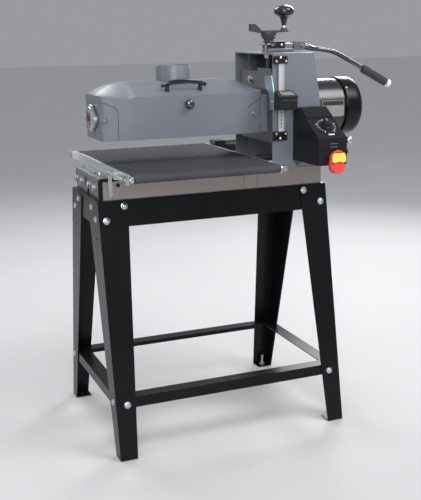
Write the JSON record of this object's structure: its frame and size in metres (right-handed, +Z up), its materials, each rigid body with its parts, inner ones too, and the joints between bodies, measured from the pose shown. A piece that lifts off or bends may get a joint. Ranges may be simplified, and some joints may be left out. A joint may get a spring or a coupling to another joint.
{
  "type": "drum sander",
  "caption": "Open-end drum sander with conveyor belt, hinged dust cover, crank height adjustment and side motor on a splayed sheet-metal open stand",
  "frame": {"origin": "Centre of the floor area that the machine covers, on the floor", "axes": "+X along the drum towards the motor, +Y in the feed direction, +Z up"},
  "size_m": [1.0657, 0.628, 1.283],
  "materials": {
    "grey_paint": "satin blue-grey paint",
    "black_paint": "gloss black powder coat",
    "bare_steel": "ground bare metal",
    "zinc_plate": "zinc plated",
    "bronze": "sintered bronze",
    "aluminium": "machined",
    "cast_iron": "cast and machined",
    "belt": "fine black grit belt",
    "black_plastic": "moulded black plastic",
    "abrasive_drum": "aluminium drum wrapped in abrasive strip",
    "red_plastic": "moulded red plastic",
    "yellow_plastic": "moulded yellow plastic",
    "white_plastic": "white plastic",
    "rubber": "black rubber"
  },
  "bodies": {
    "machine": {"leg_front_left": "black_paint", "leg_front_right": "black_paint", "leg_rear_left": "black_paint", "leg_rear_right": "black_paint", "upper_rail_front": "black_paint", "upper_rail_rear": "black_paint", "upper_rail_left": "black_paint", "upper_rail_right": "black_paint", "lower_rail_front": "black_paint", "lower_rail_rear": "black_paint", "lower_rail_left": "black_paint", "lower_rail_right": "black_paint", "base": "bare_steel", "outboard_table_bracket": "cast_iron", "table_jack_screw": "zinc_plate", "conveyor_bed": "aluminium", "conveyor_belt": "belt", "takeup_block_left": "zinc_plate", "takeup_screw_left": "zinc_plate", "takeup_block_right": "zinc_plate", "takeup_screw_right": "zinc_plate", "feed_gearmotor": "black_paint", "column": "grey_paint", "lock_block": "cast_iron", "lever_clevis": "cast_iron", "depth_scale": "white_plastic", "control_box": "black_paint"},
    "head": {"head_frame": "grey_paint", "latch_catch": "zinc_plate", "head_carriage": "cast_iron", "lift_nut": "bronze", "depth_readout": "black_plastic", "readout_bracket": "zinc_plate", "outboard_bearing": "zinc_plate", "inboard_bearing": "zinc_plate", "motor_body": "black_paint", "motor_fan_cover": "black_paint"},
    "cover": {"dust_cover": "grey_paint", "dust_port": "grey_paint", "cover_handle": "black_plastic"},
    "latch": {"cover_latch_knob": "black_plastic"},
    "drum": {"drum": "abrasive_drum", "drum_shaft": "bare_steel", "shaft_coupling": "cast_iron"},
    "crank": {"height_screw": "zinc_plate", "crank_handle": "cast_iron"},
    "crank_grip": {"crank_knob": "black_plastic"},
    "drive_roll": {"drive_roller": "bare_steel"},
    "idler_roll": {"idler_roller": "bare_steel"},
    "infeed_yoke": {"infeed_roller_yoke": "zinc_plate"},
    "infeed_roll": {"infeed_roller": "rubber"},
    "outfeed_yoke": {"outfeed_roller_yoke": "zinc_plate"},
    "outfeed_roll": {"outfeed_roller": "rubber"},
    "lock_lever": {"lock_lever": "zinc_plate", "lever_grip": "rubber", "lever_cap": "white_plastic"},
    "speed_dial": {"speed_knob": "black_plastic"},
    "paddle": {"switch_paddle": "red_plastic"},
    "key": {"safety_key": "yellow_plastic"},
    "reset": {"reset_button": "black_plastic"}
  },
  "joints": [
    {"name": "crank_turn", "type": "hinge", "parent": "machine", "child": "crank", "pos_m": [0.082, 0.014, 1.2], "axis": [0, 0, -1], "range_deg": [-15421, 1361]},
    {"name": "crank_grip_spin", "type": "hinge", "parent": "crank", "child": "crank_grip", "pos_m": [0.135, 0.014, 1.25], "axis": [0, 0, 1], "continuous": true},
    {"name": "head_lift", "type": "slide", "parent": "machine", "child": "head", "axis": [0, 0, 1], "range_m": [-0.068, 0.006]},
    {"name": "cover_hinge", "type": "hinge", "parent": "head", "child": "cover", "pos_m": [-0.231, 0.12, 0.914], "axis": [-1, 0, 0], "range_deg": [0, 80]},
    {"name": "latch_turn", "type": "hinge", "parent": "cover", "child": "latch", "pos_m": [-0.226, -0.096, 1.001], "axis": [0, 1, 0], "range_deg": [0, 540]},
    {"name": "drum_spin", "type": "hinge", "parent": "head", "child": "drum", "pos_m": [-0.239, 0.014, 0.965], "axis": [1, 0, 0], "continuous": true},
    {"name": "infeed_float", "type": "slide", "parent": "head", "child": "infeed_yoke", "axis": [0, 0, 1], "range_m": [0, 0.003], "stiffness_N_per_m": 3000, "springref_m": -0.004},
    {"name": "infeed_spin", "type": "hinge", "parent": "infeed_yoke", "child": "infeed_roll", "pos_m": [-0.239, -0.055, 0.9117], "axis": [1, 0, 0], "continuous": true},
    {"name": "outfeed_float", "type": "slide", "parent": "head", "child": "outfeed_yoke", "axis": [0, 0, 1], "range_m": [0, 0.003], "stiffness_N_per_m": 3000, "springref_m": -0.004},
    {"name": "outfeed_spin", "type": "hinge", "parent": "outfeed_yoke", "child": "outfeed_roll", "pos_m": [-0.239, 0.083, 0.9117], "axis": [1, 0, 0], "continuous": true},
    {"name": "drive_spin", "type": "hinge", "parent": "machine", "child": "drive_roll", "pos_m": [-0.241, 0.303, 0.821], "axis": [1, 0, 0], "continuous": true},
    {"name": "idler_spin", "type": "hinge", "parent": "machine", "child": "idler_roll", "pos_m": [-0.241, -0.275, 0.821], "axis": [1, 0, 0], "continuous": true},
    {"name": "lock_lever_swing", "type": "hinge", "parent": "machine", "child": "lock_lever", "pos_m": [0.193, 0.014, 1.16], "axis": [0, -1, 0], "range_deg": [0, 35]},
    {"name": "speed_turn", "type": "hinge", "parent": "machine", "child": "speed_dial", "pos_m": [0.149, -0.237, 0.93101], "axis": [0, 0.527, -0.8498], "range_deg": [0, 300]},
    {"name": "paddle_lift", "type": "hinge", "parent": "machine", "child": "paddle", "pos_m": [0.153, -0.2883, 0.8665], "axis": [-1, 0, 0], "range_deg": [0, 20]},
    {"name": "key_pull", "type": "slide", "parent": "paddle", "child": "key", "axis": [0, -1, 0], "range_m": [0, 0.016]},
    {"name": "reset_press", "type": "slide", "parent": "machine", "child": "reset", "axis": [-1, 0, 0], "range_m": [0, 0.0025], "stiffness_N_per_m": 400, "springref_m": -0.002}
  ],
  "couplings": [
    {"joint": "crank_turn", "follows": "head_lift", "rad_per_m": 3957.9},
    {"joint": "idler_spin", "follows": "drive_spin", "ratio": 1}
  ]
}
